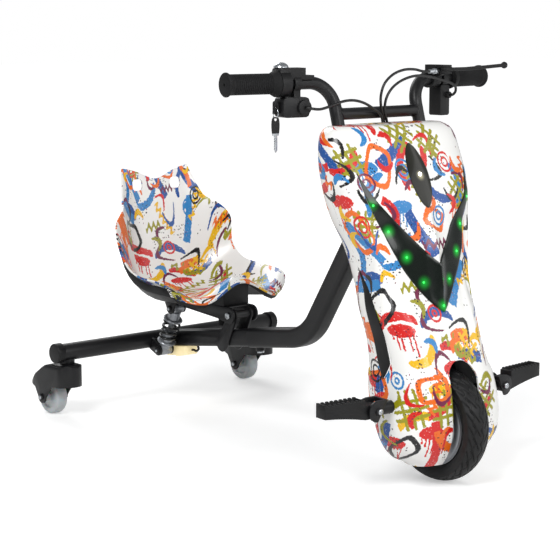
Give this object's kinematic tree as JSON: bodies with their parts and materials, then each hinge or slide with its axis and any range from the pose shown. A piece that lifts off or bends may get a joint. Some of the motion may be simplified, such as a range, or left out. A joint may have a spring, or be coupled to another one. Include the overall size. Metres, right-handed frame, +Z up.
{
  "type": "tricycle drifter scooter",
  "caption": "Low seated electric drift trike: driven front wheel in a moulded fairing, handlebar, sprung bucket seat and two swivelling casters behind.",
  "frame": {"origin": "on the ground, below the middle of the bounding box", "axes": "+Z up, -Y the way the rider faces, -X the rider's right; +Y runs to the casters"},
  "size_m": [0.616, 0.985, 0.7143],
  "materials": {
    "frame_paint": "satin black",
    "black_plastic": "matt",
    "rubber": "matt",
    "tyre_rubber": "matt",
    "white_shell": "gloss with a printed splash pattern",
    "bright_steel": "zinc plated",
    "cast_aluminium": "satin",
    "grey_paint": "satin",
    "green_lens": "gloss",
    "smoked_lens": "gloss",
    "pale_wheel": "translucent",
    "warm_lens": "gloss",
    "battery_wrap": "satin"
  },
  "bodies": {
    "rear_frame": {"frame_rear_tube": "frame_paint", "rear_axle_bar": "frame_paint", "axle_end_cap_left": "black_plastic", "axle_end_cap_right": "black_plastic", "seat_pivot_bracket": "frame_paint", "seat_pivot_bolt": "bright_steel", "shock_lower_bracket": "frame_paint", "floor_lamp_housing": "black_plastic", "floor_lamp_lens": "warm_lens", "floor_lamp_lead": "black_plastic"},
    "front_frame": {"frame_front_tube": "frame_paint", "length_lock_bolt": "bright_steel", "headset_lower": "bright_steel", "headset_upper": "bright_steel"},
    "steering": {"front_fork": "frame_paint", "wheel_axle": "bright_steel", "bar_bridge": "frame_paint", "handlebar": "frame_paint", "grip_left": "rubber", "throttle_housing": "black_plastic", "gauge_dome": "bright_steel", "key_lock": "black_plastic", "brake_holder": "black_plastic", "barrel_adjuster": "bright_steel", "switch_housing": "black_plastic", "fairing_front": "white_shell", "fairing_rear": "white_shell", "v_light_cover": "green_lens", "headlamp_lens": "smoked_lens", "side_inlay_right": "black_plastic", "side_inlay_left": "black_plastic", "motor_controller": "cast_aluminium", "battery_pack": "battery_wrap", "peg_bracket_left": "frame_paint", "peg_bracket_right": "frame_paint", "throttle_lead": "black_plastic", "brake_cable": "black_plastic", "switch_lead": "black_plastic"},
    "front_wheel": {"front_tyre": "tyre_rubber", "hub_motor": "cast_aluminium"},
    "throttle": {"throttle_grip": "rubber"},
    "brake_lever": {"brake_lever": "black_plastic"},
    "light_button": {"light_button": "grey_paint"},
    "ignition_key": {"ignition_key": "black_plastic"},
    "key_ring": {"key_ring": "bright_steel"},
    "spare_key": {"spare_key": "black_plastic"},
    "peg_left": {"footpeg_left": "black_plastic"},
    "peg_right": {"footpeg_right": "black_plastic"},
    "seat": {"seat_arm": "frame_paint", "seat_base_pan": "black_plastic", "seat_shell": "white_shell", "bump_stop": "rubber", "shock_upper_bracket": "frame_paint"},
    "shock_lower": {"shock_body": "grey_paint", "shock_spring": "frame_paint"},
    "shock_upper": {"shock_piston": "grey_paint"},
    "caster_left": {"caster_fork_left": "frame_paint"},
    "caster_right": {"caster_fork_right": "frame_paint"},
    "caster_wheel_left": {"caster_wheel_left": "pale_wheel"},
    "caster_wheel_right": {"caster_wheel_right": "pale_wheel"}
  },
  "joints": [
    {"name": "frame_length", "type": "slide", "parent": "rear_frame", "child": "front_frame", "axis": [0, -0.989, 0.1478], "range_m": [-0.025, 0.04]},
    {"name": "steering_turn", "type": "hinge", "parent": "front_frame", "child": "steering", "pos_m": [0, -0.273, 0.47489], "axis": [0, 0.2756, 0.9613], "range_deg": [-40, 40]},
    {"name": "front_wheel_spin", "type": "hinge", "parent": "steering", "child": "front_wheel", "pos_m": [0, -0.3925, 0.1], "axis": [1, 0, 0], "continuous": true},
    {"name": "throttle_twist", "type": "hinge", "parent": "steering", "child": "throttle", "pos_m": [-0.25544, -0.19221, 0.679], "axis": [-0.9903, 0.1392, 0], "range_deg": [0, 60], "stiffness_Nm_per_rad": 0.25, "springref_deg": -20.05},
    {"name": "brake_squeeze", "type": "hinge", "parent": "steering", "child": "brake_lever", "pos_m": [0.15804, -0.23922, 0.696], "axis": [0, 0, 1], "range_deg": [0, 16], "stiffness_Nm_per_rad": 1.2, "springref_deg": -5.73},
    {"name": "light_button_press", "type": "slide", "parent": "steering", "child": "light_button", "axis": [0.1392, -0.9903, 0], "range_m": [0, 0.003], "stiffness_N_per_m": 400, "springref_m": -0.001},
    {"name": "key_turn", "type": "hinge", "parent": "steering", "child": "ignition_key", "pos_m": [-0.20573, -0.19919, 0.639], "axis": [-0.9903, 0.1392, 0], "range_deg": [0, 90]},
    {"name": "key_ring_swing", "type": "hinge", "parent": "ignition_key", "child": "key_ring", "pos_m": [-0.20662, -0.19907, 0.6383], "axis": [-0.1392, -0.9903, 0], "range_deg": [-30, 3]},
    {"name": "spare_key_swing", "type": "hinge", "parent": "key_ring", "child": "spare_key", "pos_m": [-0.20662, -0.19907, 0.6211], "axis": [-0.1392, -0.9903, 0], "range_deg": [-30, 8]},
    {"name": "peg_fold_left", "type": "hinge", "parent": "steering", "child": "peg_left", "pos_m": [0.1535, -0.38415, 0.145], "axis": [0.0802, -0.9968, 0], "range_deg": [0, 90]},
    {"name": "peg_fold_right", "type": "hinge", "parent": "steering", "child": "peg_right", "pos_m": [-0.1535, -0.38415, 0.145], "axis": [0.0802, 0.9968, 0], "range_deg": [0, 90]},
    {"name": "seat_suspension", "type": "hinge", "parent": "rear_frame", "child": "seat", "pos_m": [0, 0.1525, 0.21402], "axis": [-1, 0, 0], "range_deg": [0, 6], "stiffness_Nm_per_rad": 500, "springref_deg": -2.86},
    {"name": "shock_swing", "type": "hinge", "parent": "rear_frame", "child": "shock_lower", "pos_m": [-0.038, 0.3555, 0.117], "axis": [1, 0, 0], "range_deg": [0, 6]},
    {"name": "shock_travel", "type": "slide", "parent": "shock_lower", "child": "shock_upper", "axis": [0, 0.4234, -0.906], "range_m": [0, 0.016], "deforming": ["shock_spring"]},
    {"name": "caster_swivel_left", "type": "hinge", "parent": "rear_frame", "child": "caster_left", "pos_m": [0.247, 0.3945, 0.1], "axis": [0, 0, 1], "continuous": true},
    {"name": "caster_roll_left", "type": "hinge", "parent": "caster_left", "child": "caster_wheel_left", "pos_m": [0.247, 0.4495, 0.036], "axis": [1, 0, 0], "continuous": true},
    {"name": "caster_swivel_right", "type": "hinge", "parent": "rear_frame", "child": "caster_right", "pos_m": [-0.247, 0.3945, 0.1], "axis": [0, 0, 1], "continuous": true},
    {"name": "caster_roll_right", "type": "hinge", "parent": "caster_right", "child": "caster_wheel_right", "pos_m": [-0.247, 0.4495, 0.036], "axis": [1, 0, 0], "continuous": true}
  ],
  "couplings": [
    {"joint": "shock_swing", "follows": "seat_suspension", "ratio": 0.872},
    {"joint": "shock_travel", "follows": "seat_suspension", "m_per_rad": 0.136}
  ]
}
